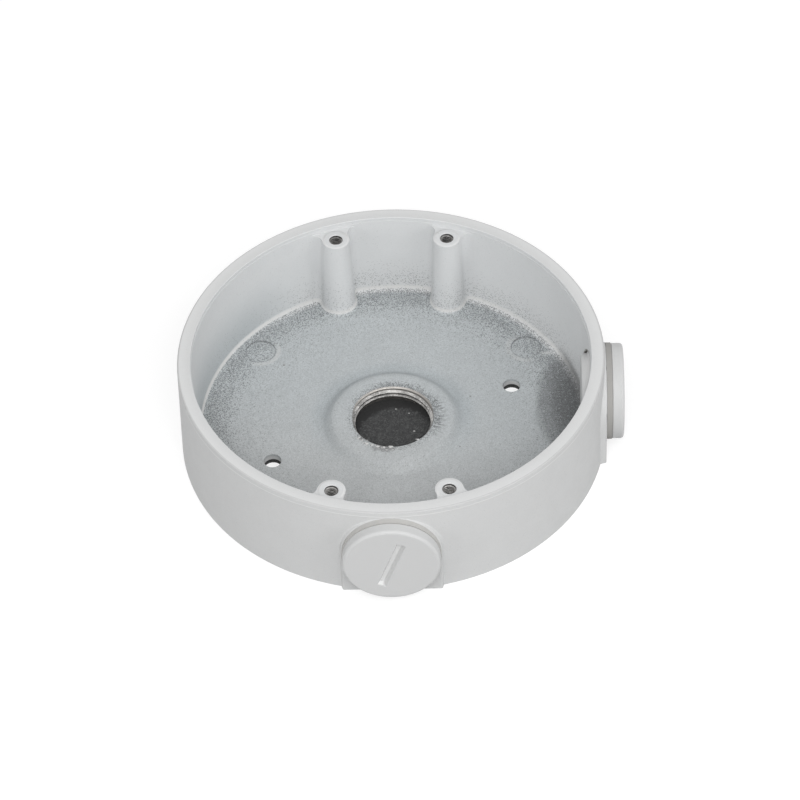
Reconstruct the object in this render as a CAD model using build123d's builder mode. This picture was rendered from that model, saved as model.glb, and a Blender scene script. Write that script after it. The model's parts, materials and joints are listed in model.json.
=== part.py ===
from build123d import *

import os
from math import cos, radians, sin, tan

# Camera junction box, in millimetres. The back face lies on z = 0 and the mouth opens upwards.
# The front port looks along -Y and the side port along +X.

# Die-cast box
outer_radius = 65.0  # at the rim
outer_draft = 0.8  # degrees that the outside widens towards the back
rim_width = 4.15
rim_round = 0.45  # outer corner of the rim
rim_chamfer = 0.15  # inner corner of the rim
seat_depth = 1.35  # of the slightly wider mouth that the camera's base drops into
seat_step = 0.15  # how much wider it is, on the radius
wall_draft = 2.2  # degrees that the inside leans in towards the floor
floor_thickness = 2.2
foot_round = 1.8  # where the wall meets the floor
skirt_width = 4.4  # ring of casting left round the gasket

# Threads, cut at their major diameter and left plain
port_thread = 25.0
port_pitch = 1.5
camera_thread = 4.0

# Ports in the wall, each on a flat arched boss
port_floor_gap = 0.25  # between the bore and the floor
port_rim_gap = 2.05  # wall left between the boss and the rim
front_boss_rise = 0.15  # from the wall at the rim out to the boss face
side_boss_rise = 0.5
boss_land = 2.4  # flat ring between the bore and the boss edge
boss_slope = 14.0  # degrees, flanks of the boss
boss_round = 0.5
boss_root_round = 0.4  # where the flanks meet the wall
port_chamfer = 0.4

# Raised ring round the threaded hole in the floor
ring_rise = 2.8
ring_land = 4.9
ring_run = 5.6  # width of the soft slope
floor_port_chamfer = 0.4

# Columns that take the camera's screws
column_radius = 4.25
column_inset = 4.55  # from the wall at the rim to the screw axis
column_angle = 18.0  # degrees either side of the Y axis
column_drop = 2.1  # from the rim down to the column's top
column_web_spare = 0.25  # round left on the web at the floor, past the foot round
camera_screw_depth = 12.0
camera_screw_chamfer = 0.3
drill_point = 59.0  # degrees, half the drill's tip angle

# Holes for the wall screws and marks of the ejector pins
wall_screw_diameter = 5.5
wall_screw_circle = 80.0
wall_screw_angle = 22.5
mark_radius = 4.65
mark_inset = 8.15
mark_angle = 37.5
mark_depth = 0.2

# Back gasket
gasket_thickness = 1.5
gasket_edge_gap = 0.3

# Screw plugs and their seals
seal_thickness = 1.65
seal_inset = 0.1  # from the boss edge
seal_play = 0.35  # round the shank
head_inset = 0.3  # likewise
head_thickness = 3.65
head_round = 1.0
head_chamfer = 0.25  # back edge of the head
shank_length = 9.1
shank_chamfer = 0.7
slot_length = 18.6
slot_width = 2.7
slot_depth = 1.5
slot_draft = 12.0
slot_corner = 0.45
front_slot_turn = 19.5  # degrees from upright, clockwise from outside
side_slot_turn = -34.0

# Sizes that follow
inner_radius = outer_radius - rim_width
floor_top = gasket_thickness + floor_thickness
port_radius = port_thread / 2
port_height = floor_top + port_floor_gap + port_radius
boss_radius = port_radius + boss_land
front_reach = outer_radius + front_boss_rise
side_reach = outer_radius + side_boss_rise
box_height = port_height + boss_radius + port_rim_gap
back_radius = outer_radius + box_height * tan(radians(outer_draft))
column_top = box_height - column_drop
column_level_radius = inner_radius - column_drop * tan(radians(wall_draft))
column_web_round = foot_round + (column_top - floor_top) * tan(radians(wall_draft)) + column_web_spare
column_circle = inner_radius - column_inset
shank_radius = port_radius - 0.6134 * port_pitch
head_radius = boss_radius - head_inset
recess_radius = back_radius - skirt_width

front_port = Plane(origin=(0, -front_reach, port_height), x_dir=(1, 0, 0), z_dir=(0, -1, 0))
side_port = Plane(origin=(side_reach, 0, port_height), x_dir=(0, 1, 0), z_dir=(1, 0, 0))
ports = [front_port, side_port]


def circle_point(radius, degrees):
    return (radius * cos(radians(degrees)), radius * sin(radians(degrees)))


column_directions = [90 - column_angle, 90 + column_angle, 270 - column_angle, 270 + column_angle]
column_points = [circle_point(column_circle, d) for d in column_directions]
wall_screw_directions = [wall_screw_angle, wall_screw_angle + 180]
wall_screw_points = [circle_point(wall_screw_circle / 2, d) for d in wall_screw_directions]
mark_directions = [mark_angle, 180 - mark_angle, 180 + mark_angle, -mark_angle]
mark_points = [circle_point(inner_radius - mark_inset, d) for d in mark_directions]

# Space inside the box: one drafted core whose outline runs round the columns with soft webs
with BuildPart() as cavity:
    with BuildSketch(Plane.XY.offset(column_top)):
        Circle(column_level_radius)
        for direction in column_directions:
            web_middle = circle_point(column_circle + column_radius, direction)
            with Locations(circle_point(column_circle, direction)):
                Circle(column_radius, mode=Mode.SUBTRACT)
            with Locations(Location((*web_middle, 0), (0, 0, direction))):
                Rectangle(2 * column_radius, 2 * column_radius, mode=Mode.SUBTRACT)
        web_corners = vertices().group_by(lambda v: Vector(v.X, v.Y).length)[-1]
        fillet(web_corners, column_web_round)
    extrude(amount=floor_top - column_top, taper=wall_draft)
    fillet(faces().sort_by(Axis.Z)[0].edges(), foot_round)
    with BuildSketch(Plane.XY.offset(box_height)):
        Circle(inner_radius)
    extrude(amount=-column_drop, taper=wall_draft)
    with BuildSketch(Plane.XY.offset(box_height)):
        Circle(inner_radius + seat_step)
    extrude(amount=-seat_depth, taper=wall_draft)
    with BuildSketch(Plane.XY.offset(box_height)):
        Circle(inner_radius + seat_step + rim_chamfer)
    extrude(amount=-rim_chamfer, taper=45)

# Arched boss that carries one port, drawn on the port's own plane
with BuildSketch() as boss_face:
    Circle(boss_radius)
    with Locations((0, -port_height)):
        Rectangle(2 * boss_radius, 2 * port_height)

# The boss ends at the back face and below the rim
with BuildPart() as port_boss:
    add(boss_face.sketch)
    extrude(amount=-rim_width, taper=-boss_slope)
    fillet(faces().sort_by(Axis.Z)[-1].edges(), boss_round)
    split(bisect_by=Plane.XZ.offset(port_height), keep=Keep.BOTTOM)
    split(bisect_by=Plane.XZ.offset(port_height - box_height + rim_round), keep=Keep.TOP)

# Blind hole for a camera screw, mouth at z = 0
with BuildPart() as screw_hole:
    with BuildSketch(Plane.XZ):
        with BuildLine():
            screw_radius = camera_thread / 2
            tip = camera_screw_depth + screw_radius / tan(radians(drill_point))
            Polyline(
                (0, 0),
                (screw_radius + camera_screw_chamfer, 0),
                (screw_radius, -camera_screw_chamfer),
                (screw_radius, -camera_screw_depth),
                (0, -tip),
                close=True,
            )
        make_face()
    revolve(axis=Axis.Z)

# Soft ring that thickens the floor round its threaded hole
with BuildPart() as floor_ring:
    with BuildSketch(Plane.XZ):
        with BuildLine():
            ring_top = floor_top + ring_rise
            land_end = (port_radius + ring_land, ring_top)
            slope_end = (port_radius + ring_land + ring_run, floor_top)
            Spline([land_end, slope_end], tangents=[(1, 0), (1, 0)])
            ring_foot = (slope_end[0], gasket_thickness)
            Polyline(slope_end, ring_foot, (0, gasket_thickness), (0, ring_top), land_end)
        make_face()
    revolve(axis=Axis.Z)

# Die-cast box
with BuildPart() as box_body:
    with BuildSketch():
        Circle(back_radius)
    extrude(amount=box_height, taper=outer_draft)
    fillet(faces().sort_by(Axis.Z)[-1].edges(), rim_round)
    # Bosses, with the drafted wall faced off flush where it would stand in front of their flats
    for port in ports:
        add(port.location * port_boss.part)
        with BuildSketch(port):
            add(boss_face.sketch)
        extrude(amount=rim_width, mode=Mode.SUBTRACT)
    wall = faces().filter_by(GeomType.PLANE, reverse=True).sort_by(SortBy.AREA)[-1]
    fillet(wall.edges().filter_by(GeomType.BSPLINE), boss_root_round)
    add(cavity.part, mode=Mode.SUBTRACT)
    with BuildSketch():
        Circle(recess_radius)
    extrude(amount=gasket_thickness, mode=Mode.SUBTRACT)
    add(floor_ring.part)
    # Threaded hole in the floor and the two ports, each with a small lead-in
    with Locations((0, 0, ring_top)):
        CounterSinkHole(port_radius, port_radius + floor_port_chamfer, counter_sink_angle=90)
    for port in ports:
        with BuildSketch(port):
            Circle(port_radius)
        extrude(amount=-2.5 * rim_width, mode=Mode.SUBTRACT)
        with BuildSketch(port):
            Circle(port_radius + port_chamfer)
        extrude(amount=-port_chamfer, taper=45, mode=Mode.SUBTRACT)
    # Screw holes and the shallow marks of the ejector pins
    with Locations(*[(x, y, column_top) for x, y in column_points]):
        add(screw_hole.part, mode=Mode.SUBTRACT)
    with BuildSketch():
        with Locations(*wall_screw_points):
            Circle(wall_screw_diameter / 2)
    extrude(amount=floor_top, mode=Mode.SUBTRACT)
    with BuildSketch(Plane.XY.offset(floor_top)):
        with Locations(*mark_points):
            Circle(mark_radius)
    extrude(amount=-mark_depth, mode=Mode.SUBTRACT)


def make_plug(port, slot_turn):
    """A slotted screw plug whose head seats on a seal, made on its port's plane."""
    seat = port.offset(seal_thickness)
    with BuildPart() as plug:
        with BuildSketch(seat):
            Circle(head_radius)
        extrude(amount=head_thickness)
        rims = edges().filter_by(GeomType.CIRCLE).sort_by(lambda e: seat.to_local_coords(e.center()).Z)
        fillet(rims[-1], head_round)
        chamfer(rims[0], head_chamfer)
        with BuildSketch(seat.offset(head_thickness)):
            RectangleRounded(slot_width, slot_length, slot_corner, rotation=-slot_turn)
        extrude(amount=-slot_depth, taper=slot_draft, mode=Mode.SUBTRACT)
        with BuildSketch(seat):
            Circle(shank_radius)
        extrude(amount=-shank_length)
        ends = edges().filter_by(GeomType.CIRCLE).sort_by(lambda e: seat.to_local_coords(e.center()).Z)
        chamfer(ends[0], shank_chamfer)
    return plug.part


def make_seal(port):
    """A flat washer between the boss and the plug's head."""
    with BuildPart() as seal:
        with BuildSketch(port):
            Circle(boss_radius - seal_inset)
            Circle(shank_radius + seal_play, mode=Mode.SUBTRACT)
        extrude(amount=seal_thickness)
    return seal.part


# Foam gasket in the back, pierced for the wall screws only
with BuildPart() as back_gasket:
    with BuildSketch():
        Circle(recess_radius - gasket_edge_gap)
        with Locations(*wall_screw_points):
            Circle(wall_screw_diameter / 2, mode=Mode.SUBTRACT)
    extrude(amount=gasket_thickness)

pieces = {
    "box_body": box_body.part,
    "front_plug": make_plug(front_port, front_slot_turn),
    "side_plug": make_plug(side_port, side_slot_turn),
    "front_seal": make_seal(front_port),
    "side_seal": make_seal(side_port),
    "back_gasket": back_gasket.part,
}

os.makedirs("parts", exist_ok=True)
for name, piece in pieces.items():
    piece.label = name
    export_step(piece, f"parts/{name}.step")
    print(name, "volume", round(piece.volume), "solids", len(piece.solids()))
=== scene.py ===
import json
from math import cos, degrees, hypot, pi, radians, sin, tan
from random import Random
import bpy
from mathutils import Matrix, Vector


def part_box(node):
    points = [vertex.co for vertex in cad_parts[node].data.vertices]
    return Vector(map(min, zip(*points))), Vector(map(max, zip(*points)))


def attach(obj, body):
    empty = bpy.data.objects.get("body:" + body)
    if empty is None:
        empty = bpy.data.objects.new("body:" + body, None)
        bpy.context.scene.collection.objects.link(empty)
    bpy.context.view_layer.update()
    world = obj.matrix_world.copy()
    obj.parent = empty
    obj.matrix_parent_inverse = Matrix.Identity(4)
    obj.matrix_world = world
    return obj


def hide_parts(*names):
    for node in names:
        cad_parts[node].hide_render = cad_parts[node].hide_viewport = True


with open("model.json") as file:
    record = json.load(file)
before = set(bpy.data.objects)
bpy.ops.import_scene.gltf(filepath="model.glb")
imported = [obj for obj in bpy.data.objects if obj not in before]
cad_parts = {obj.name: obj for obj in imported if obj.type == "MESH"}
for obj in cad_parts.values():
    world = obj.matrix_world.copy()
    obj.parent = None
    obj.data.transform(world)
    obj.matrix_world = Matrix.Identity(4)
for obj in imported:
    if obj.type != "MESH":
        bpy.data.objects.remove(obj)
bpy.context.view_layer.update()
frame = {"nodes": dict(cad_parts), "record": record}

from types import SimpleNamespace

import bmesh
import bpy
from mathutils import Matrix, Vector

mm = 0.001  # pieces are modelled in millimetres and scaled when they are finished
mergeDistance = 0.0005  # in millimetres


# Small helpers


def addNode(tree, kind, inputs=None, **settings):
    # one shader node, with its inputs linked or given as numbers
    made = tree.nodes.new("ShaderNode" + kind)
    for name, value in settings.items():
        setattr(made, name, value)
    for name, value in (inputs or {}).items():
        if isinstance(value, bpy.types.NodeSocket):
            tree.links.new(value, made.inputs[name])
        else:
            made.inputs[name].default_value = value
    return made


def calc(tree, operation, *values):
    # a math node on up to three sockets or numbers
    return addNode(tree, "Math", dict(enumerate(values)), operation=operation).outputs[0]


def product(tree, *values):
    whole = values[0]
    for value in values[1:]:
        whole = calc(tree, "MULTIPLY", whole, value)
    return whole


def distance(tree, x, y, px, py, wide=1.0, tall=1.0):
    # how far x and y are from a place, stretched by its width and height
    across = calc(tree, "DIVIDE", calc(tree, "SUBTRACT", x, px), wide)
    along = calc(tree, "DIVIDE", calc(tree, "SUBTRACT", y, py), tall)
    return calc(tree, "SQRT", calc(tree, "ADD", product(tree, across, across), product(tree, along, along)))


def offBy(tree, value, target):
    return calc(tree, "ABSOLUTE", calc(tree, "SUBTRACT", value, target))


def inMillimetres(tree, place):
    # x, y and z of a place
    parts = addNode(tree, "SeparateXYZ", {0: place})
    return [calc(tree, "DIVIDE", parts.outputs[i], mm) for i in range(3)]


def ramp(tree, value, low, high, start=0.0, end=1.0, smooth=True):
    # runs softly from start to end as value goes from low to high
    kind = "SMOOTHSTEP" if smooth else "LINEAR"
    inputs = {"Value": value, "From Min": low, "From Max": high, "To Min": start, "To Max": end}
    return addNode(tree, "MapRange", inputs, interpolation_type=kind).outputs[0]


def noise(tree, place, size, detail=2.0, roughness=0.5, distortion=0.0):
    # soft noise whose features are about size millimetres wide
    inputs = {
        "Vector": place,
        "Scale": 1 / (size * mm),
        "Detail": detail,
        "Roughness": roughness,
        "Distortion": distortion,
    }
    return addNode(tree, "TexNoise", inputs).outputs["Fac"]


def mixColor(tree, amount, first, second):
    # first where amount is 0 and second where it is 1
    made = addNode(tree, "Mix", data_type="RGBA")
    for index, value in ((0, amount), (6, first), (7, second)):
        if isinstance(value, bpy.types.NodeSocket):
            tree.links.new(value, made.inputs[index])
        else:
            made.inputs[index].default_value = value if index == 0 else (*value, 1)
    return made.outputs[2]


def bumped(tree, height, depth, strength=1.0, normal=None):
    # a bump of about depth millimetres, on top of another one where normal gives it
    inputs = {"Height": height, "Distance": depth * mm, "Strength": strength}
    if normal:
        inputs["Normal"] = normal
    return addNode(tree, "Bump", inputs).outputs[0]


def newMaterial(name, color, roughness, metallic=0.0, specular=0.5):
    material = bpy.data.materials.new(name)
    material.use_nodes = True
    material.diffuse_color = (*color, 1)
    tree = material.node_tree
    shader = tree.nodes["Principled BSDF"]
    shader.inputs["Base Color"].default_value = (*color, 1)
    shader.inputs["Roughness"].default_value = roughness
    shader.inputs["Metallic"].default_value = metallic
    shader.inputs["Specular IOR Level"].default_value = specular
    place = tree.nodes.new("ShaderNodeTexCoord").outputs["Object"]
    return material, tree, shader, place


def finishPiece(bm, name, body, material, place=Matrix.Identity(4), smoothAngle=35):
    # closes the mesh work, puts it in the box's frame in metres and lets it ride
    bmesh.ops.remove_doubles(bm, verts=bm.verts, dist=mergeDistance)
    bmesh.ops.recalc_face_normals(bm, faces=bm.faces)
    for face in bm.faces:
        face.smooth = True
    for edge in bm.edges:
        edge.smooth = len(edge.link_faces) == 2 and degrees(edge.calc_face_angle(0)) < smoothAngle
    bmesh.ops.transform(bm, matrix=place @ Matrix.Scale(mm, 4), verts=bm.verts)
    mesh = bpy.data.meshes.new(name)
    bm.to_mesh(mesh)
    bm.free()
    piece = bpy.data.objects.new(name, mesh)
    bpy.context.scene.collection.objects.link(piece)
    mesh.materials.append(material)
    weighted = piece.modifiers.new("EvenShading", "WEIGHTED_NORMAL")
    weighted.keep_sharp = True
    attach(piece, body)
    return piece


# Places that the frame gives


def portPlace(seal, out, right):
    # the port's own frame, in metres: x to the right, y up, z outwards from the boss face
    low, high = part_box(seal)
    middle = (low + high) / 2
    thickness = abs((high - low).dot(out))
    up = out.cross(right)
    place = Matrix((right, up, out)).transposed().to_4x4()
    place.translation = middle - out * thickness / 2
    return place, thickness / mm


frontOut, frontRight = Vector((0, -1, 0)), Vector((1, 0, 0))
sideOut, sideRight = Vector((1, 0, 0)), Vector((0, 1, 0))
frontPlace, sealThickness = portPlace("front_seal", frontOut, frontRight)
sidePlace = portPlace("side_seal", sideOut, sideRight)[0]
portHeight = frontPlace.translation.z / mm
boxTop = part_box("box_body")[1].z / mm
mounts = {mount["name"]: mount for mount in frame["record"]["mounts"]}
floorTop = mounts["wall_screws"]["pos_m"][2] / mm
screwX = mounts["camera_screws"]["dims"]["spacing_x_mm"] / 2
screwY = mounts["camera_screws"]["dims"]["spacing_y_mm"] / 2


# Materials


castingLook = {
    "paint": (0.600, 0.605, 0.605),
    # lighter than the outside paint: painted light on the inside walls
    "litInsidePaint": (0.642, 0.652, 0.656),
    # the floor's own paint, also the painted shade low on the left wall
    "floorPaintAndShade": (0.478, 0.505, 0.516),
    # painted shade on the front of the floor
    "shadedFrontFloorPaint": (0.466, 0.480, 0.484),
    # painted shade at the foot of the entry's ring
    "paintedValleyShade": (0.395, 0.430, 0.448),
    # paint of the pale bead at the foot of the walls with its painted highlight, also the painted highlight
    # on the pin marks
    "filletPaintAndHighlight": (0.610, 0.612, 0.605),
    # bare casting, also the painted shade round the pin marks
    "rawCastingAndShade": (0.125, 0.130, 0.134),
    "soot": (0.105, 0.108, 0.110),
    # painted highlight on the parting line, the rim's outer half and the columns' tops
    "paintedHighlight": (0.700, 0.705, 0.705),
    # painted shade on the rim's rounded corner
    "paintedCornerShade": (0.520, 0.522, 0.522),
    "boredMetal": (0.40, 0.385, 0.365),
    # painted shade in the screw holes
    "paintedHoleShade": (0.06, 0.058, 0.056),
    "chippedMetal": (0.26, 0.26, 0.26),
    "dirt": (0.10, 0.085, 0.07),
    "grain": 0.26,  # width of one grain of the coat
    "mouthRadius": 61.25,
    "partingHeight": 31.65,
    "entryBore": 12.6,  # radii up to which the bores are bare
    "portBore": 12.95,
    "cameraHole": 2.06,
    "capHighlight": 3.85,  # radius of the painted highlight round a column's top
    "mark": (41.81, 32.08),  # places on the floor, from the middle of the box
    "markRadius": 4.65,
    # radius of the painted highlight on each pin mark's raised inner side
    "markRimHighlight": 5.7,
    # place of a painted highlight along a raised ridge
    "ridge": (49.3, 29.4),
    "patch": (55.0, 7.0),
    "patchCore": (55.0, 8.0),
    "scratches": (15.0, 0.5),
    "chip": (-3.0, -13.4),
    "specks": (  # place, size and depth of colour
        (-34.4, 25.9, 0.55, 0.5),
        (33.3, 32.7, 0.45, 0.5),
        (24.0, 10.9, 0.40, 0.6),
        (20.6, -10.6, 0.35, 0.6),
    ),
}


def mapCasting(tree, place):
    # where a point of the casting lies, in millimetres, and the patterns that its finishes share
    x, y, z = inMillimetres(tree, place)
    on = SimpleNamespace(x=x, y=y, z=z, place=place)
    on.mirroredX, on.mirroredY = calc(tree, "ABSOLUTE", x), calc(tree, "ABSOLUTE", y)
    on.above = calc(tree, "SUBTRACT", z, floorTop)
    on.radius = distance(tree, x, y, 0.0, 0.0)
    on.fromScrew = distance(tree, on.mirroredX, on.mirroredY, screwX, screwY)
    on.cloud = noise(tree, place, 7.0, 3.0, 0.6)
    on.ragged = product(tree, calc(tree, "SUBTRACT", noise(tree, place, 3.0, 3.0, 0.65), 0.5), 9.0)
    # grains of the coat: every cell draws its own lot, which says whether it is bare and how pale it is
    cells = addNode(tree, "TexVoronoi", {"Vector": place, "Scale": 1 / (castingLook["grain"] * mm)})
    lots = addNode(tree, "SeparateColor", {0: cells.outputs["Color"]})
    on.lot, on.pale = lots.outputs[0], lots.outputs[1]
    on.dot = ramp(tree, cells.outputs["Distance"], 0.75, 0.35)
    # inside of the box, its floor, and the pale bead along the foot of the walls, thicker paint with a
    # painted highlight on its fillet
    mouth = castingLook["mouthRadius"]
    on.inside = product(tree, ramp(tree, on.radius, mouth, mouth - 0.15), ramp(tree, z, 2.6, 3.2))
    low = calc(tree, "MAXIMUM", ramp(tree, on.above, 1.6, 0.4), ramp(tree, on.radius, 28.0, 26.0))
    on.floor = product(tree, on.inside, low, ramp(tree, on.radius, 58.6, 57.2))
    bead = product(tree, ramp(tree, on.above, 0.25, 0.6), ramp(tree, on.above, 1.7, 1.1))
    on.bead = product(tree, bead, ramp(tree, on.radius, 46.0, 48.0), on.inside)
    return on


def backwards(tree, on, share):
    # grows towards the back and, by its share, to the right
    return calc(tree, "ADD", on.y, calc(tree, "MULTIPLY", on.x, share))


def frayed(tree, on, value, share):
    # value with a ragged edge
    return calc(tree, "ADD", value, calc(tree, "MULTIPLY", on.ragged, share))


def paintColor(tree, on):
    # lighter on the walls than on the floor, with painted light on the inside walls, and painted shade low on
    # the left wall, over the front of the floor and at the foot of the entry's ring
    look = castingLook
    # painted shade low on the left wall
    shade = product(tree, ramp(tree, on.above, 23.0, 2.0), ramp(tree, on.x, -25.0, -48.0), on.inside)
    # painted light: the inside walls lighter than the outside
    color = mixColor(tree, on.inside, look["paint"], look["litInsidePaint"])
    color = mixColor(tree, shade, color, look["floorPaintAndShade"])
    # painted shade on the front of the floor, fading towards the back
    toBack = ramp(tree, backwards(tree, on, 0.2), -32.0, 16.0)
    # painted shade at the foot of the entry's ring, towards the back
    valleyShade = product(tree, ramp(tree, on.radius, 18.5, 22.0), ramp(tree, on.radius, 28.0, 23.0))
    valleyShade = product(tree, valleyShade, ramp(tree, on.y, -18.0, 8.0), 0.55)
    floorPaintAndShade = mixColor(tree, toBack, look["shadedFrontFloorPaint"], look["floorPaintAndShade"])
    floorPaintAndShade = mixColor(tree, valleyShade, floorPaintAndShade, look["paintedValleyShade"])
    color = mixColor(tree, on.floor, color, floorPaintAndShade)
    # the pale bead: thicker paint with a painted highlight
    color = mixColor(tree, on.bead, color, look["filletPaintAndHighlight"])
    # soft clouds and fine grain, both stronger on the floor
    clouds = ramp(tree, on.cloud, 0.3, 0.7, -0.5, 0.5)
    soft = product(tree, clouds, ramp(tree, on.floor, 0.0, 1.0, 0.020, 0.060))
    fine = product(tree, calc(tree, "SUBTRACT", on.pale, 0.5), ramp(tree, on.floor, 0.0, 1.0, 0.035, 0.240))
    tinted = calc(tree, "ADD", calc(tree, "ADD", soft, fine), 1.0)
    return addNode(tree, "VectorMath", {0: color, 3: tinted}, operation="SCALE").outputs[0]


def pinMarks(tree, on):
    # painted shade in a fine line round each ejector pin's mark, a painted highlight on its raised inner
    # side, and a painted highlight along a ridge beside one of them
    around = distance(tree, on.mirroredX, on.mirroredY, *castingLook["mark"])
    outline = product(tree, ramp(tree, offBy(tree, around, castingLook["markRadius"]), 0.28, 0.08), on.floor)
    outline = product(tree, outline, ramp(tree, noise(tree, on.place, 4.0), 0.35, 0.6, 0.35, 1.0))
    rimHighlight = ramp(tree, offBy(tree, around, castingLook["markRimHighlight"]), 1.1, 0.3)
    rimHighlight = product(tree, rimHighlight, on.floor, ramp(tree, on.radius, 53.5, 49.0))
    rimHighlight = product(tree, rimHighlight, ramp(tree, on.cloud, 0.35, 0.6, 0.5, 1.0))
    # painted highlight along the ridge
    ridge = ramp(tree, distance(tree, on.x, on.y, *castingLook["ridge"], 4.0, 0.9), 1.0, 0.5)
    return outline, calc(tree, "MAXIMUM", rimHighlight, product(tree, ridge, on.floor))


def bareGrains(tree, on, rimHighlight):
    # dense along the foot of the wall, a few up the walls and round the entry
    wavy = frayed(tree, on, on.radius, 0.4)
    near = calc(tree, "ADD", ramp(tree, wavy, 47.0, 57.0, 0.0, 0.52), ramp(tree, wavy, 26.0, 54.0, 0.0, 0.16))
    near = product(tree, near, ramp(tree, on.above, 0.8, 0.3), ramp(tree, rimHighlight, 0.0, 1.0, 1.0, 0.25))
    toCorner = ramp(tree, backwards(tree, on, 1.0), -10.0, 60.0, 0.15, 0.8)
    wall = product(tree, ramp(tree, on.above, 15.0, 1.0, 0.0, 0.24), toCorner)
    onColumn = product(tree, ramp(tree, on.above, 15.0, 2.0, 0.0, 0.50), ramp(tree, on.fromScrew, 5.2, 4.6))
    wall = product(tree, calc(tree, "MAXIMUM", wall, onColumn), ramp(tree, on.radius, 44.0, 46.0))
    onRing = ramp(tree, wavy, 16.2, 13.0, 0.0, 0.92)
    onRing = product(tree, onRing, ramp(tree, backwards(tree, on, 0.8), -6.0, 14.0, 0.30, 1.0))
    sparse = ramp(tree, on.cloud, 0.35, 0.75, 0.03, 0.09)
    sparse = product(tree, sparse, ramp(tree, on.above, 12.0, 3.0, 0.08, 1.0))
    spread = calc(tree, "MAXIMUM", calc(tree, "MAXIMUM", near, wall), onRing)
    spread = calc(tree, "ADD", spread, sparse)
    spread = product(tree, spread, ramp(tree, on.bead, 0.0, 1.0, 1.0, 0.3), on.inside)
    grains = product(tree, ramp(tree, calc(tree, "SUBTRACT", on.lot, spread), 0.02, -0.02), on.dot)
    return grains, ramp(tree, spread, 0.05, 0.35, 0.40, 0.86)


def sootyPatch(tree, on):
    # on the floor by the side port, densest in its middle
    wide = frayed(tree, on, distance(tree, on.x, on.y, *castingLook["patch"], 1.0, 2.05), 0.35)
    core = frayed(tree, on, distance(tree, on.x, on.y, *castingLook["patchCore"], 1.0, 2.2), 0.3)
    patch = calc(tree, "ADD", ramp(tree, wide, 12.3, 8.2, 0.0, 0.56), ramp(tree, core, 8.0, 3.0, 0.0, 0.26))
    patch = product(tree, patch, ramp(tree, on.pale, 0.70, 1.0, 1.04, 0.62))
    return product(tree, patch, on.inside, ramp(tree, on.above, 5.0, 0.8))


def entryScratches(tree, on):
    # they run outwards on the entry's ring, most of them to the right of its hole
    turn = product(tree, calc(tree, "ARCTAN2", on.y, on.x), 26.0)
    rays = addNode(tree, "CombineXYZ", {0: turn, 1: product(tree, on.radius, 0.45)})
    streaks = addNode(tree, "TexNoise", {"Vector": rays.outputs[0], "Scale": 1.0, "Detail": 3.0})
    streaks = ramp(tree, streaks.outputs["Fac"], 0.46, 0.60)
    beside = ramp(tree, distance(tree, on.x, on.y, *castingLook["scratches"], 1.0, 2.6), 5.0, 2.5)
    beside = product(tree, beside, ramp(tree, on.radius, 18.0, 14.5))
    worn = ramp(tree, on.radius, 15.0, 13.2)
    worn = product(tree, worn, ramp(tree, backwards(tree, on, 1.0), 4.0, 14.0, 0.25, 0.8))
    scratch = product(tree, streaks, calc(tree, "MAXIMUM", beside, worn))
    return product(tree, scratch, ramp(tree, on.radius, 12.9, 13.0), on.inside)


def dirtSpecks(tree, on):
    dirt = 0.0
    for px, py, size, depth in castingLook["specks"]:
        speck = ramp(tree, distance(tree, on.x, on.y, px, py), size, size * 0.4, 0.0, depth)
        dirt = calc(tree, "ADD", dirt, speck)
    return product(tree, dirt, on.inside)


def chippedEdge(tree, on):
    # on the entry's ring, towards the front port
    chip = frayed(tree, on, distance(tree, on.x, on.y, *castingLook["chip"], 1.9, 0.8), 0.35)
    return product(tree, ramp(tree, chip, 2.3, 1.3), on.inside, ramp(tree, on.lot, 0.15, 0.35))


def paintedHighlight(tree, on):
    # painted highlight where the two halves of the mould met, round the outside only
    line = ramp(tree, offBy(tree, on.z, castingLook["partingHeight"]), 0.24, 0.08)
    return product(tree, line, ramp(tree, on.radius, 64.5, 64.8))


def edgeLight(tree, on):
    # painted highlight growing towards the outside of the rim, painted shade on its rounded corner, and a
    # painted highlight round each column's top
    thick = product(tree, ramp(tree, on.radius, 61.2, 64.2, 0.25, 1.0), ramp(tree, on.z, 33.2, 33.35))
    thick = product(tree, thick, ramp(tree, on.radius, 64.5, 64.3))
    corner = product(tree, ramp(tree, on.radius, 64.45, 64.6), ramp(tree, on.z, 32.95, 33.1))
    bead = ramp(tree, offBy(tree, on.fromScrew, castingLook["capHighlight"]), 0.5, 0.15)
    return thick, corner, product(tree, bead, ramp(tree, on.above, 27.2, 27.5), on.inside)


def cutMetal(tree, on):
    # bare where the entry and both ports were bored, and painted shade in the drilled screw holes
    entryEdge = calc(tree, "ADD", castingLook["entryBore"], ramp(tree, on.y, 0.0, 8.0, 0.0, 0.4))
    bored = ramp(tree, calc(tree, "SUBTRACT", on.radius, entryEdge), 0.0, -0.05)
    edge, hole = castingLook["portBore"], castingLook["cameraHole"]
    for across, outwards in ((on.x, calc(tree, "MULTIPLY", on.y, -1.0)), (on.y, on.x)):
        bore = ramp(tree, distance(tree, across, on.z, 0.0, portHeight), edge, edge - 0.05)
        bored = calc(tree, "ADD", bored, product(tree, bore, ramp(tree, outwards, 57.0, 57.5)))
    return bored, ramp(tree, on.fromScrew, hole + 0.05, hole)


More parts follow.
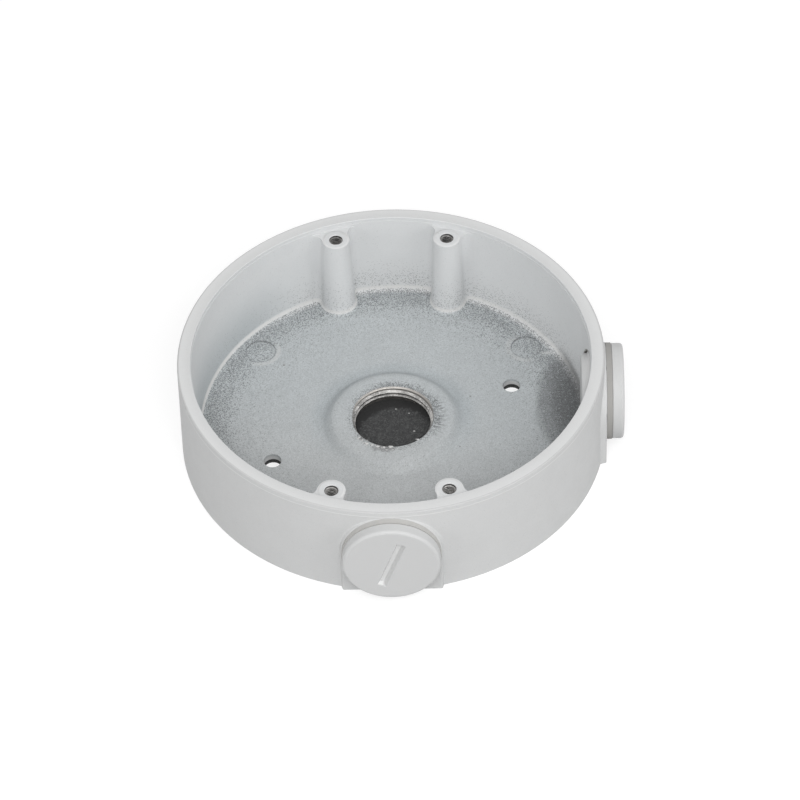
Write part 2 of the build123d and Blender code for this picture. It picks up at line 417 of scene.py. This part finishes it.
def makeCastingMaterial():
    look = castingLook
    material, tree, shader, place = newMaterial("castingPaint", look["paint"], 0.6, 0.0, 0.35)
    on = mapCasting(tree, place)
    outline, rimHighlight = pinMarks(tree, on)
    grains, grainDepth = bareGrains(tree, on, rimHighlight)
    scratch = entryScratches(tree, on)
    line = paintedHighlight(tree, on)
    thick, corner, capHighlight = edgeLight(tree, on)
    bored, holeShade = cutMetal(tree, on)
    # coats, each over the ones before it
    color = paintColor(tree, on)
    for amount, coat in (
        # painted highlight on the pin marks' rims and ridge
        (product(tree, rimHighlight, 0.55), "filletPaintAndHighlight"),
        (product(tree, grains, grainDepth), "rawCastingAndShade"),
        # painted shade round the pin marks
        (product(tree, outline, 0.55), "rawCastingAndShade"),
        (sootyPatch(tree, on), "soot"),
        (product(tree, scratch, 0.60), "rawCastingAndShade"),
        (dirtSpecks(tree, on), "dirt"),
        (product(tree, chippedEdge(tree, on), 0.9), "chippedMetal"),
        # painted highlight on the parting line
        (line, "paintedHighlight"),
        # painted highlight on the rim's outer half, painted shade on its corner
        (product(tree, thick, 0.5), "paintedHighlight"),
        (product(tree, corner, 0.8), "paintedCornerShade"),
        # painted highlight round the columns' tops
        (product(tree, capHighlight, 0.8), "paintedHighlight"),
        (bored, "boredMetal"),
        # painted shade in the screw holes
        (holeShade, "paintedHoleShade"),
    ):
        color = mixColor(tree, amount, color, look[coat])
    tree.links.new(color, shader.inputs["Base Color"])
    tree.links.new(bored, shader.inputs["Metallic"])
    # gloss and relief of the paint
    rough = ramp(tree, noise(tree, place, 1.2, 2.0), 0.3, 0.7, 0.54, 0.66)
    rough = calc(tree, "ADD", rough, product(tree, grains, 0.15))
    rough = calc(tree, "SUBTRACT", rough, product(tree, bored, 0.12))
    tree.links.new(rough, shader.inputs["Roughness"])
    capped = product(tree, ramp(tree, on.fromScrew, 4.25, 3.5), ramp(tree, on.above, 26.8, 27.2), on.inside)
    normal = bumped(tree, noise(tree, place, 0.55, 2.0, 0.6), 0.012, 0.6)
    normal = bumped(tree, line, 0.05, 0.8, normal)
    normal = bumped(tree, capped, 0.35, 0.7, normal)
    normal = bumped(tree, calc(tree, "SUBTRACT", scratch, grains), 0.03, 0.5, normal)
    tree.links.new(normal, shader.inputs["Normal"])
    return material


def makePlugMaterial(name, right, out, slotTurn, faceReach):
    # moulded plastic; one flank of the slot gets a painted highlight and the other painted shade
    look = {
        "plastic": (0.580, 0.584, 0.584),
        "litFlank": (0.74, 0.742, 0.74),
        "shadedFlank": (0.56, 0.562, 0.56),
        "slotSide": 1.35,  # from the middle of the slot
        "slotEnd": 9.4,
        "slotBottom": 1.6,
    }
    material, tree, shader, place = newMaterial(name, look["plastic"], 0.55, 0.0, 0.35)

    def along(direction):
        made = addNode(tree, "VectorMath", {0: place, 1: direction}, operation="DOT_PRODUCT")
        return calc(tree, "DIVIDE", made.outputs["Value"], mm)

    turn = radians(slotTurn)
    up = out.cross(right)
    across = calc(tree, "ADD", along(right * cos(turn) - up * sin(turn)), portHeight * sin(turn))
    length = calc(tree, "SUBTRACT", along(up * cos(turn) + right * sin(turn)), portHeight * cos(turn))
    depth = calc(tree, "SUBTRACT", faceReach, along(out))
    inSlot = product(
        tree,
        ramp(tree, depth, 0.15, 0.45),
        ramp(tree, depth, look["slotBottom"] + 0.1, look["slotBottom"]),
        ramp(tree, calc(tree, "ABSOLUTE", across), look["slotSide"] + 0.15, look["slotSide"]),
        ramp(tree, calc(tree, "ABSOLUTE", length), look["slotEnd"] + 0.2, look["slotEnd"]),
    )
    # painted highlight on one flank of the slot, painted shade on the other
    flanks = mixColor(tree, ramp(tree, across, 0.2, 0.7), look["litFlank"], look["shadedFlank"])
    color = mixColor(tree, inSlot, look["plastic"], flanks)
    tree.links.new(color, shader.inputs["Base Color"])
    grain = noise(tree, place, 0.5, 2.0, 0.6)
    tree.links.new(ramp(tree, grain, 0.3, 0.7, 0.50, 0.60), shader.inputs["Roughness"])
    tree.links.new(bumped(tree, grain, 0.008, 0.5), shader.inputs["Normal"])
    return material


def makeSealMaterial(name, color):
    material, tree, shader, place = newMaterial(name, color, 0.7, 0.0, 0.3)
    grain = noise(tree, place, 0.3, 2.0, 0.6)
    dull = tuple(0.88 * part for part in color)
    tree.links.new(mixColor(tree, noise(tree, place, 2.5, 2.0), color, dull), shader.inputs["Base Color"])
    tree.links.new(bumped(tree, grain, 0.01, 0.5), shader.inputs["Normal"])
    return material


def makeGasketMaterial():
    look = {
        "foam": (0.048, 0.049, 0.050),
        "pale": (0.102, 0.103, 0.103),
        "paintedShadow": (0.026, 0.026, 0.026),
        "crumb": (0.45, 0.45, 0.44),
        "flat": (0.8, -3.3),  # middle of the stretch that isn't pressed
        "crumbs": ((0.8, 8.0, 0.32), (4.9, 6.1, 0.30), (6.5, -1.6, 0.42)),  # middle of the lit stretch, outside the painted shadow
    }
    material, tree, shader, place = newMaterial("gasketFoam", look["foam"], 0.85, 0.0, 0.25)
    x, y, z = inMillimetres(tree, place)
    # matted fibres, with a painted shadow where the entry's far edge keeps the light off the foam
    fibre = noise(tree, place, 0.9, 4.0, 0.72, 1.4)
    color = mixColor(tree, ramp(tree, fibre, 0.42, 0.66), look["foam"], look["pale"])
    ragged = calc(tree, "MULTIPLY", calc(tree, "SUBTRACT", noise(tree, place, 1.2, 4.0, 0.7), 0.5), 4.5)
    top = ramp(tree, z, 1.0, 1.3)
    # painted shadow of the entry's far edge
    paintedShadow = calc(tree, "ADD", distance(tree, x, y, *look["flat"]), ragged)
    paintedShadow = product(tree, ramp(tree, paintedShadow, 11.0, 12.3, 0.0, 0.85), top, ramp(tree, y, -8.0, -2.0))
    color = mixColor(tree, paintedShadow, color, look["paintedShadow"])
    # bright crumbs of metal
    crumbs = 0.0
    for px, py, size in look["crumbs"]:
        crumbs = calc(tree, "ADD", crumbs, ramp(tree, distance(tree, x, y, px, py), size, size * 0.5))
    color = mixColor(tree, product(tree, crumbs, top), color, look["crumb"])
    tree.links.new(color, shader.inputs["Base Color"])
    tree.links.new(bumped(tree, fibre, 0.18, 0.8), shader.inputs["Normal"])
    return material


def makeThreadMaterial(name, color, roughness):
    # tapped metal: dull, with fine marks that run along the thread
    material, tree, shader, place = newMaterial(name, color, roughness, 1.0)
    grain = noise(tree, place, 0.5, 3.0, 0.65, 0.6)
    worn, dark = [tuple(share * part for part in color) for share in (1.6, 0.5)]
    tone = mixColor(tree, ramp(tree, noise(tree, place, 3.5, 2.0), 0.35, 0.65), dark, color)
    tree.links.new(mixColor(tree, ramp(tree, grain, 0.50, 0.70), tone, worn), shader.inputs["Base Color"])
    tree.links.new(bumped(tree, grain, 0.04, 0.6), shader.inputs["Normal"])
    return material


def makeFlakeMaterial():
    # torn metal that still has some of its paint
    look = {"both": (0.45, 0.45, 0.44), "paint": (0.62, 0.62, 0.61), "bare": (0.24, 0.24, 0.24)}
    material, tree, shader, place = newMaterial("flakedPaint", look["both"], 0.6)
    patchy = ramp(tree, noise(tree, place, 1.1, 2.0), 0.42, 0.58)
    color = mixColor(tree, patchy, look["paint"], look["bare"])
    tree.links.new(color, shader.inputs["Base Color"])
    tree.links.new(bumped(tree, noise(tree, place, 0.3), 0.05, 0.5), shader.inputs["Normal"])
    return material


castingPaint = makeCastingMaterial()
# one rubber in two copies: the front seal lighter as painted light, the side seal darker as painted shade
litFrontRubber = makeSealMaterial("litFrontSealRubber", (0.52, 0.515, 0.50))
shadedSideRubber = makeSealMaterial("shadedSideSealRubber", (0.37, 0.364, 0.35))
gasketFoam = makeGasketMaterial()
flakedMetal = makeFlakeMaterial()
conduitMetal = makeThreadMaterial("conduitThreadMetal", (0.45, 0.442, 0.43), 0.42)
# tapped metal, darker than the conduit threads as painted shade deep in the screw holes
shadedScrewMetal = makeThreadMaterial("shadedScrewThreadMetal", (0.29, 0.284, 0.276), 0.34)
for node, material in {
    "box_body": castingPaint,
    "front_seal": litFrontRubber,
    "side_seal": shadedSideRubber,
    "back_gasket": gasketFoam,
}.items():
    frame["nodes"][node].material_slots[0].material = material
print("materials ready")


# Threads


def addThread(bm, thread, low, high, inner):
    # one helical ridge between two heights, sunk into its wall and fading at both ends
    pitch, steps = thread["pitch"], thread["steps"]
    half, top = thread["baseWidth"] / 2, thread["crestWidth"] / 2
    start = low + half
    turns = (high - low - 2 * half) / pitch
    count = round(turns * steps)
    base = thread["baseRadius"] + (thread["sink"] if inner else -thread["sink"])
    crest = thread["crestRadius"]
    profile = ((base, -half), (crest, -top), (crest, top), (base, half))
    corners = [bm.verts.new((r, 0, start + h)) for r, h in profile]
    edges = [bm.edges.new((corners[i], corners[(i + 1) % 4])) for i in range(4)]
    turned = Matrix.Rotation(2 * pi * (start - thread["phase"]) / pitch, 3, "Z")
    bmesh.ops.rotate(bm, verts=corners, cent=(0, 0, 0), matrix=turned)
    before = len(bm.verts) - 4
    bmesh.ops.spin(
        bm,
        geom=corners + edges,
        cent=(0, 0, 0),
        axis=(0, 0, 1),
        dvec=(0, 0, pitch / steps),
        angle=2 * pi * count / steps,
        steps=count,
        use_merge=False,
    )
    bm.verts.ensure_lookup_table()
    for index, vert in enumerate(bm.verts[before:]):
        step, corner = divmod(index, 4)
        if corner in (1, 2):
            share = min(1, min(step, count - step) / (thread["fade"] * steps))
            radius = base + (crest - base) * share * share * (3 - 2 * share)
            now = hypot(vert.co.x, vert.co.y)
            vert.co.x *= radius / now
            vert.co.y *= radius / now
    bmesh.ops.holes_fill(bm, edges=[edge for edge in bm.edges if edge.is_boundary], sides=4)


conduitThread = {"pitch": 1.5, "steps": 72, "fade": 0.25, "sink": 0.06}
insideRidge = {"baseRadius": 12.5, "baseWidth": 1.3, "crestRadius": 11.69, "crestWidth": 0.36, "phase": 0.0}
plugRidge = {"baseRadius": 11.58, "baseWidth": 1.1, "crestRadius": 12.38, "crestWidth": 0.14, "phase": 0.75}
cameraThread = {
    "pitch": 0.7,
    "steps": 24,
    "fade": 0.25,
    "sink": 0.03,
    "baseRadius": 2.0,
    "baseWidth": 0.6,
    "crestRadius": 1.62,
    "crestWidth": 0.16,
    "phase": 0.0,
}


def makePortThread(name, place):
    depth = {"first": 0.5, "last": 4.7}  # below the boss face
    bm = bmesh.new()
    addThread(bm, {**conduitThread, **insideRidge}, -depth["last"], -depth["first"], True)
    finishPiece(bm, name, "box", conduitMetal, place)


def makeFloorThread():
    entry = {"low": 1.55, "high": 6.15, "coneFrom": 5.29}
    bm = bmesh.new()
    addThread(bm, {**conduitThread, **insideRidge}, entry["low"], entry["high"], True)
    for vert in bm.verts:  # the lead-in cuts the upper turns back
        least = insideRidge["crestRadius"] + max(0.0, vert.co.z - entry["coneFrom"])
        now = hypot(vert.co.x, vert.co.y)
        if now < least:
            vert.co.x *= least / now
            vert.co.y *= least / now
    finishPiece(bm, "floor_thread", "box", conduitMetal)


def makeCameraThreads():
    depth = {"first": 2.4, "last": 14.1}  # below the rim
    for index, (sx, sy) in enumerate(((1, 1), (-1, 1), (-1, -1), (1, -1))):
        bm = bmesh.new()
        addThread(bm, cameraThread, boxTop - depth["last"], boxTop - depth["first"], True)
        place = Matrix.Translation((sx * screwX * mm, sy * screwY * mm, 0))
        finishPiece(bm, f"camera_thread_{index + 1}", "box", shadedScrewMetal, place)


def makeEntryBurr():
    # torn flakes that the tap left on the front edge of the entry, and one on its right
    burr = {
        "seed": 11,
        "flakes": 17,
        "turns": (-141.0, -84.0),
        "radii": (12.8, 14.2),
        "sizes": (0.40, 1.05),
        "thick": 0.22,
        "top": 6.5,
        "single": (-52.7, 12.45, 0.62),
    }
    pick = Random(burr["seed"])
    first, last = burr["turns"]
    step = (last - first) / burr["flakes"]
    flakes = [
        (first + step * (i + pick.random()), pick.uniform(*burr["radii"]), pick.uniform(*burr["sizes"]))
        for i in range(burr["flakes"])
    ]
    bm = bmesh.new()
    for turn, radius, size in flakes + [burr["single"]]:
        flake = bmesh.ops.create_icosphere(bm, subdivisions=1, radius=size)["verts"]
        for vert in flake:
            vert.co *= pick.uniform(0.6, 1.3)
        bmesh.ops.scale(bm, vec=(1, pick.uniform(0.35, 0.8), burr["thick"] / size), verts=flake)
        tilt = Matrix.Rotation(pick.uniform(-0.35, 0.35), 3, "X")
        tilt = tilt @ Matrix.Rotation(pick.uniform(-0.3, 0.3), 3, "Y")
        turned = Matrix.Rotation(pick.uniform(0, pi), 3, "Z") @ tilt
        bmesh.ops.rotate(bm, verts=flake, cent=(0, 0, 0), matrix=turned)
        at = (radius * cos(radians(turn)), radius * sin(radians(turn)), burr["top"])
        bmesh.ops.translate(bm, vec=at, verts=flake)
    finishPiece(bm, "entry_burr", "box", flakedMetal, smoothAngle=25)


makePortThread("front_port_thread", frontPlace)
makePortThread("side_port_thread", sidePlace)
makeFloorThread()
makeCameraThreads()
makeEntryBurr()
print("threads ready")


# Screw plugs


def arcPoints(centre, radius, first, last, count):
    # points on an arc in the profile plane, first and last in degrees
    turns = [radians(first + (last - first) * i / count) for i in range(count + 1)]
    return [(centre[0] + radius * cos(t), centre[1] + radius * sin(t)) for t in turns]


def slotSteps(plug):
    # steps inwards and upwards that follow the slot's wall: rounded lip, leaning wall, rounded foot
    lip, foot, draft = plug["slotLip"], plug["slotFoot"], radians(plug["slotDraft"])
    parts = plug["slotParts"]
    sweep = pi / 2 - draft
    path = [(0.0, 0.0)]
    for i in range(1, parts + 1):
        turn = sweep * i / parts
        path.append((lip * sin(turn) / sin(sweep), lip * (1 - cos(turn))))
    wallFoot = plug["slotDepth"] - foot * (1 - sin(draft))
    path.append((path[-1][0] + (wallFoot - path[-1][1]) * tan(draft), wallFoot))
    start = path[-1][0]
    for i in range(1, parts + 1):
        turn = sweep * (1 - i / parts)
        path.append((start + foot * (sin(sweep) - sin(turn)), wallFoot + foot * (cos(turn) - cos(sweep))))
    return [(nextIn - before, down - nextDown) for (before, down), (nextIn, nextDown) in zip(path, path[1:])]


def makePlug(name, body, node, place, right, out, slotTurn):
    low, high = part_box(node)
    plug = {
        "headRadius": max(high - low) / 2 / mm,
        "headThickness": 3.65,
        "headRound": 1.0,
        "backChamfer": 0.25,
        "shankRadius": 11.58,
        "shankLength": 9.1,
        "endChamfer": 0.7,
        "neck": 0.25,  # between the head and the shank
        "threadTop": -0.3,  # from the boss face
        "slotLength": 18.6,
        "slotWidth": 2.7,
        "slotDepth": 1.5,
        "slotDraft": 25.0,
        "slotLip": 0.12,
        "slotFoot": 0.6,
        "slotParts": 4,  # of each rounding in the slot
        "roundParts": 8,  # of the rounding of the head
        "steps": 120,
    }
    seat = sealThickness
    front = seat + plug["headThickness"]
    end = seat - plug["shankLength"]
    head, shank = plug["headRadius"], plug["shankRadius"]
    bm = bmesh.new()
    addThread(bm, {**conduitThread, **plugRidge}, end + plug["endChamfer"], plug["threadTop"], False)
    # head and shank, turned
    corner = plug["headRound"]
    outline = arcPoints((head - corner, front - corner), corner, 90, 0, plug["roundParts"])
    outline += [
        (head, seat + plug["backChamfer"]),
        (head - plug["backChamfer"], seat),
        (shank + plug["neck"], seat),
        (shank, seat - plug["neck"]),
        (shank, end + plug["endChamfer"]),
        (shank - plug["endChamfer"], end),
        (0, end),
    ]
    line = [bm.verts.new((r, 0, z)) for r, z in outline]
    edges = [bm.edges.new(pair) for pair in zip(line, line[1:])]
    bmesh.ops.spin(
        bm,
        geom=line + edges,
        cent=(0, 0, 0),
        axis=(0, 0, 1),
        angle=2 * pi,
        steps=plug["steps"],
        use_merge=True,
    )
    bmesh.ops.remove_doubles(bm, verts=bm.verts, dist=mergeDistance)
    rim = [edge for edge in bm.edges if edge.is_boundary]
    # slot, sunk from the face in small steps
    sheet = bmesh.ops.create_grid(bm, x_segments=1, y_segments=1, size=0.5)
    wide, tall = plug["slotWidth"] + 2 * plug["slotLip"], plug["slotLength"] + 2 * plug["slotLip"]
    bmesh.ops.scale(bm, vec=(wide, tall, 1), verts=sheet["verts"])
    slotFace = sheet["verts"][0].link_faces[0]
    turned = Matrix.Rotation(-radians(slotTurn), 3, "Z")
    bmesh.ops.rotate(bm, verts=slotFace.verts[:], cent=(0, 0, 0), matrix=turned)
    bmesh.ops.translate(bm, vec=(0, 0, front), verts=slotFace.verts[:])
    opening = slotFace.edges[:]
    for inwards, upwards in slotSteps(plug):
        bmesh.ops.inset_individual(
            bm, faces=[slotFace], thickness=inwards, depth=upwards, use_even_offset=True
        )
    # flat face of the head between its rim and the slot
    bmesh.ops.bridge_loops(bm, edges=rim + opening)
    faceReach = max(abs(low.dot(out)), abs(high.dot(out))) / mm
    plastic = makePlugMaterial(name + "_plastic", right, out, slotTurn, faceReach)
    piece = finishPiece(bm, name, body, plastic, place)
    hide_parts(node)


slotTurns = {"front": 19.5, "side": -34.0}  # degrees from upright, clockwise as seen from outside
makePlug("front_screw_plug", "front_plug", "front_plug", frontPlace, frontRight, frontOut, slotTurns["front"])
makePlug("side_screw_plug", "side_plug", "side_plug", sidePlace, sideRight, sideOut, slotTurns["side"])
print("plugs ready")


# Floor, light and camera


def seenDirectly(tree):
    # 1 for what the camera, metal and glass see, 0 for the light on the box
    rays = addNode(tree, "LightPath")
    seen = calc(tree, "MAXIMUM", rays.outputs["Is Camera Ray"], rays.outputs["Is Glossy Ray"])
    return calc(tree, "MAXIMUM", seen, rays.outputs["Is Transmission Ray"])


def makeStage():
    stage = {"size": 6.0, "drop": 0.05, "color": (0.45, 0.45, 0.45), "shown": 0.70, "shaded": 0.36}
    bm = bmesh.new()
    bmesh.ops.create_grid(bm, x_segments=1, y_segments=1, size=stage["size"])
    mesh = bpy.data.meshes.new("studio_floor")
    bm.to_mesh(mesh)
    bm.free()
    floor = bpy.data.objects.new("studio_floor", mesh)
    floor.location.z = -stage["drop"] * mm
    bpy.context.scene.collection.objects.link(floor)
    material = bpy.data.materials.new("studioPaper")
    material.use_nodes = True
    tree = material.node_tree
    tree.nodes.clear()
    paper = addNode(tree, "BsdfDiffuse", {"Color": (*stage["color"], 1)})
    shaded = addNode(tree, "BsdfDiffuse", {"Color": (stage["shaded"],) * 3 + (1,)})
    shown = addNode(tree, "Emission", {"Color": (1, 1, 1, 1), "Strength": stage["shown"]})
    both = addNode(tree, "AddShader", {0: shaded.outputs[0], 1: shown.outputs[0]})
    mixed = addNode(tree, "MixShader", {0: seenDirectly(tree), 1: paper.outputs[0], 2: both.outputs[0]})
    addNode(tree, "OutputMaterial", {"Surface": mixed.outputs[0]})
    mesh.materials.append(material)


def makeWorld():
    sky = {"light": 0.445, "shown": 1.0}
    world = bpy.data.worlds.new("studioWorld")
    bpy.context.scene.world = world
    world.use_nodes = True
    tree = world.node_tree
    tree.nodes.clear()
    light = addNode(tree, "Background", {"Color": (1, 1, 1, 1), "Strength": sky["light"]})
    shown = addNode(tree, "Background", {"Color": (1, 1, 1, 1), "Strength": sky["shown"]})
    mixed = addNode(tree, "MixShader", {0: seenDirectly(tree), 1: light.outputs[0], 2: shown.outputs[0]})
    addNode(tree, "OutputWorld", {"Surface": mixed.outputs[0]})


def makeLamp(name, azimuth, elevation, size, power, reach=1.4):
    # a soft lamp that looks at the box from azimuth, measured from straight in front
    lamp = bpy.data.lights.new(name, "AREA")
    lamp.shape = "RECTANGLE"
    lamp.size, lamp.size_y = size
    lamp.energy = power
    piece = bpy.data.objects.new(name, lamp)
    turn = Matrix.Rotation(radians(azimuth), 4, "Z") @ Matrix.Rotation(radians(90 - elevation), 4, "X")
    piece.matrix_world = turn @ Matrix.Translation((0, 0, reach))
    bpy.context.scene.collection.objects.link(piece)


def makeCamera():
    view = {
        "azimuth": 1.646,
        "elevation": 46.368,
        "roll": -2.094,
        "distance": 1.1855,
        "lens": 171.96,
        "shift": (0.00825, 0.03876),
    }
    data = bpy.data.cameras.new("photo_camera")
    data.lens, data.sensor_width = view["lens"], 36.0
    data.shift_x, data.shift_y = view["shift"]
    camera = bpy.data.objects.new("photo_camera", data)
    turn = Matrix.Rotation(radians(view["azimuth"]), 4, "Z")
    turn = turn @ Matrix.Rotation(radians(90 - view["elevation"]), 4, "X")
    turn = turn @ Matrix.Rotation(radians(view["roll"]), 4, "Z")
    camera.matrix_world = turn @ Matrix.Translation((0, 0, view["distance"]))
    bpy.context.scene.collection.objects.link(camera)
    bpy.context.scene.camera = camera


makeStage()
makeWorld()
for name, (azimuth, elevation, size, power) in {
    "high_softbox": (0, 48, (0.7, 0.7), 9.2),
    "left_softbox": (-50, 20, (0.7, 0.5), 3.2),
    "right_softbox": (50, 20, (0.7, 0.5), 3.3),
    "back_softbox": (180, 20, (0.9, 0.5), 2.5),
    "side_softbox": (75, 45, (0.7, 0.7), 2.9),
}.items():
    makeLamp(name, azimuth, elevation, size, power)
makeCamera()
bpy.context.scene.view_settings.view_transform = "Standard"
print("stage, light and camera ready")
